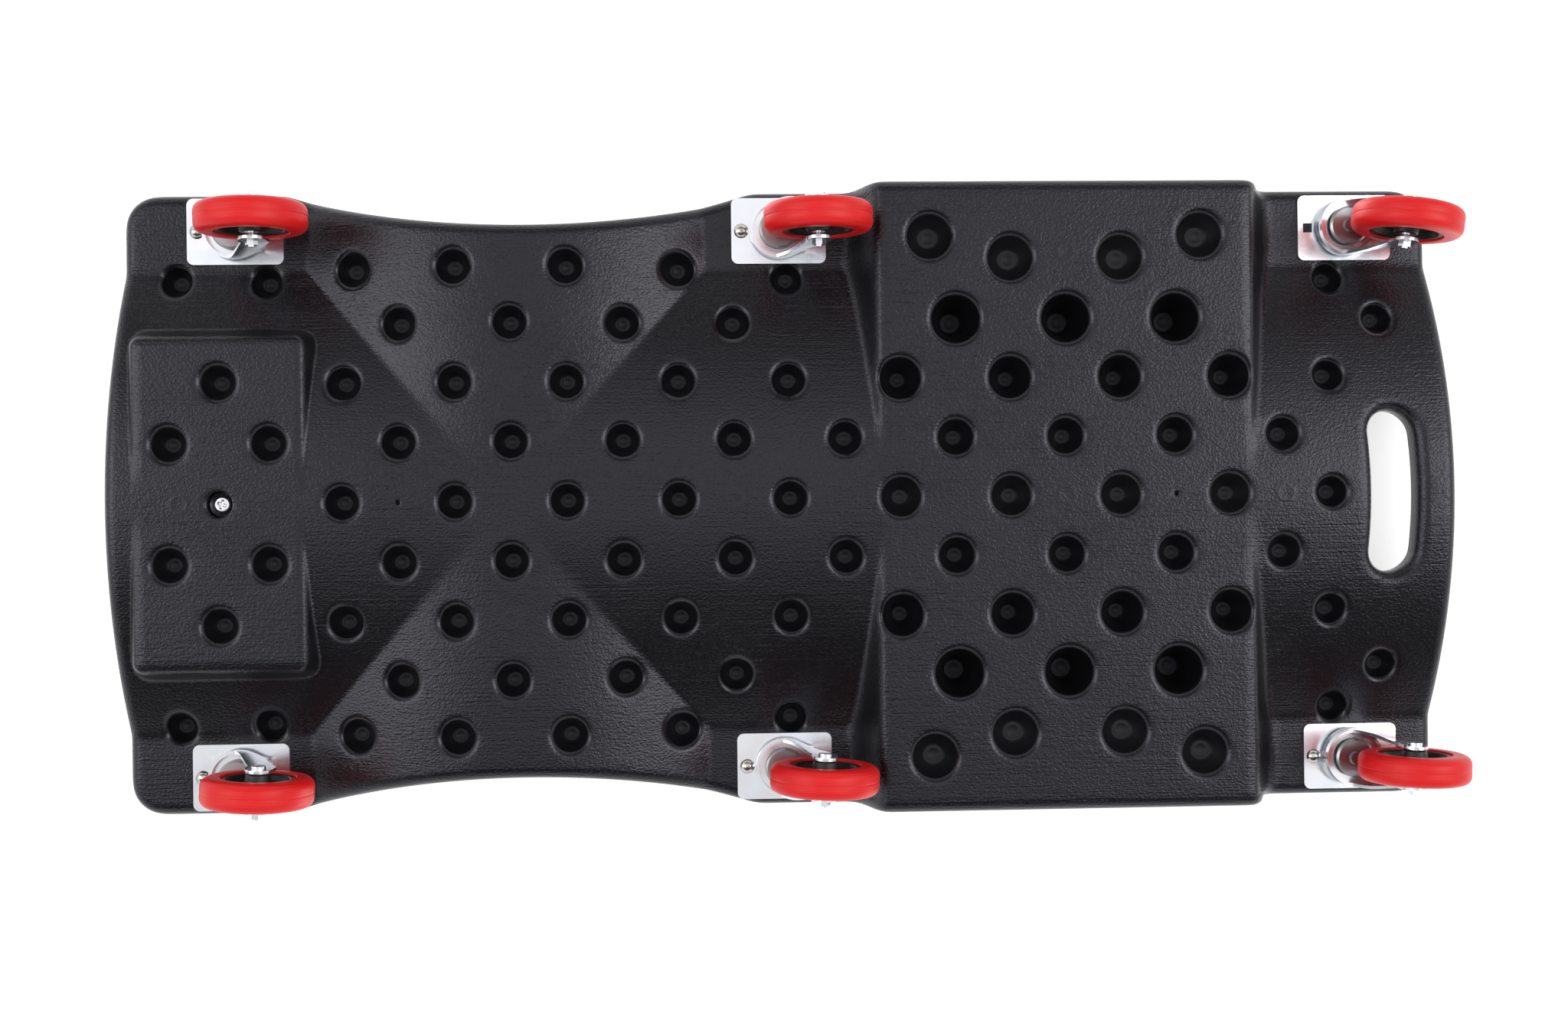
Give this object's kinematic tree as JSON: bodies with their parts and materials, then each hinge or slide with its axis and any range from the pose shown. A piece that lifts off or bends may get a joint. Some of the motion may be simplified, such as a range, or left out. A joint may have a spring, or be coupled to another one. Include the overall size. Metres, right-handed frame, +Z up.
{
  "type": "mechanic creeper",
  "caption": "Low moulded creeper board with a dished deck, a waist for the arms, tool trays, a padded headrest and a carry slot, rolling on swivel casters.",
  "frame": {"origin": "on the floor under the middle of the deck", "axes": "+Z up, +X from the headrest towards the carry slot, +Y to the left of a person lying on it"},
  "size_m": [1.01, 0.477, 0.1275],
  "materials": {
    "deck_plastic": "fine leather grain, satin black",
    "cushion_cover": "black vinyl",
    "board": "raw plywood",
    "steel": "bright zinc",
    "zinc_plate": "bright zinc plating",
    "hub_plastic": "matt black",
    "red_tyre": "satin red polyurethane"
  },
  "bodies": {
    "deck": {"deck": "deck_plastic", "headrest_cushion": "cushion_cover", "headrest_board": "board", "headrest_screw": "steel", "caster_bolts": "steel", "caster_nuts": "steel", "bearing_balls": "steel", "head_left_plate": "zinc_plate", "head_left_kingpin": "steel", "head_right_plate": "zinc_plate", "head_right_kingpin": "steel", "middle_left_plate": "zinc_plate", "middle_left_kingpin": "steel", "middle_right_plate": "zinc_plate", "middle_right_kingpin": "steel", "foot_left_plate": "zinc_plate", "foot_left_kingpin": "steel", "foot_right_plate": "zinc_plate", "foot_right_kingpin": "steel"},
    "head_left_swivel": {"head_left_fork": "zinc_plate", "head_left_axle_bolt": "steel", "head_left_axle_nut": "steel"},
    "head_left_wheel": {"head_left_bush": "steel", "head_left_hub": "hub_plastic", "head_left_tyre": "red_tyre"},
    "head_right_swivel": {"head_right_fork": "zinc_plate", "head_right_axle_bolt": "steel", "head_right_axle_nut": "steel"},
    "head_right_wheel": {"head_right_bush": "steel", "head_right_hub": "hub_plastic", "head_right_tyre": "red_tyre"},
    "middle_left_swivel": {"middle_left_fork": "zinc_plate", "middle_left_axle_bolt": "steel", "middle_left_axle_nut": "steel"},
    "middle_left_wheel": {"middle_left_bush": "steel", "middle_left_hub": "hub_plastic", "middle_left_tyre": "red_tyre"},
    "middle_right_swivel": {"middle_right_fork": "zinc_plate", "middle_right_axle_bolt": "steel", "middle_right_axle_nut": "steel"},
    "middle_right_wheel": {"middle_right_bush": "steel", "middle_right_hub": "hub_plastic", "middle_right_tyre": "red_tyre"},
    "foot_left_swivel": {"foot_left_fork": "zinc_plate", "foot_left_axle_bolt": "steel", "foot_left_axle_nut": "steel"},
    "foot_left_wheel": {"foot_left_bush": "steel", "foot_left_hub": "hub_plastic", "foot_left_tyre": "red_tyre"},
    "foot_right_swivel": {"foot_right_fork": "zinc_plate", "foot_right_axle_bolt": "steel", "foot_right_axle_nut": "steel"},
    "foot_right_wheel": {"foot_right_bush": "steel", "foot_right_hub": "hub_plastic", "foot_right_tyre": "red_tyre"}
  },
  "joints": [
    {"name": "head_left_swivel_turn", "type": "hinge", "parent": "deck", "child": "head_left_swivel", "pos_m": [-0.4155, 0.206, 0.09], "axis": [0, 0, 1], "continuous": true},
    {"name": "head_left_wheel_turn", "type": "hinge", "parent": "head_left_swivel", "child": "head_left_wheel", "pos_m": [-0.38854, 0.20741, 0.04], "axis": [-0.0523, 0.9986, 0], "continuous": true},
    {"name": "head_right_swivel_turn", "type": "hinge", "parent": "deck", "child": "head_right_swivel", "pos_m": [-0.4155, -0.206, 0.09], "axis": [0, 0, 1], "continuous": true},
    {"name": "head_right_wheel_turn", "type": "hinge", "parent": "head_right_swivel", "child": "head_right_wheel", "pos_m": [-0.38851, -0.20657, 0.04], "axis": [0.0209, 0.9998, 0], "continuous": true},
    {"name": "middle_left_swivel_turn", "type": "hinge", "parent": "deck", "child": "middle_left_swivel", "pos_m": [-0.0054, 0.2044, 0.09], "axis": [0, 0, 1], "continuous": true},
    {"name": "middle_left_wheel_turn", "type": "hinge", "parent": "middle_left_swivel", "child": "middle_left_wheel", "pos_m": [0.02157, 0.20558, 0.04], "axis": [-0.0436, 0.999, 0], "continuous": true},
    {"name": "middle_right_swivel_turn", "type": "hinge", "parent": "deck", "child": "middle_right_swivel", "pos_m": [-0.0054, -0.2044, 0.09], "axis": [0, 0, 1], "continuous": true},
    {"name": "middle_right_wheel_turn", "type": "hinge", "parent": "middle_right_swivel", "child": "middle_right_wheel", "pos_m": [0.0216, -0.20464, 0.04], "axis": [0.0087, 1, 0], "continuous": true},
    {"name": "foot_left_swivel_turn", "type": "hinge", "parent": "deck", "child": "foot_left_swivel", "pos_m": [0.4325, 0.2044, 0.09], "axis": [0, 0, 1], "continuous": true},
    {"name": "foot_left_wheel_turn", "type": "hinge", "parent": "foot_left_swivel", "child": "foot_left_wheel", "pos_m": [0.45949, 0.20506, 0.04], "axis": [-0.0244, 0.9997, 0], "continuous": true},
    {"name": "foot_right_swivel_turn", "type": "hinge", "parent": "deck", "child": "foot_right_swivel", "pos_m": [0.4325, -0.2044, 0.09], "axis": [0, 0, 1], "continuous": true},
    {"name": "foot_right_wheel_turn", "type": "hinge", "parent": "foot_right_swivel", "child": "foot_right_wheel", "pos_m": [0.4592, -0.20041, 0.04], "axis": [-0.1478, 0.989, 0], "continuous": true}
  ]
}
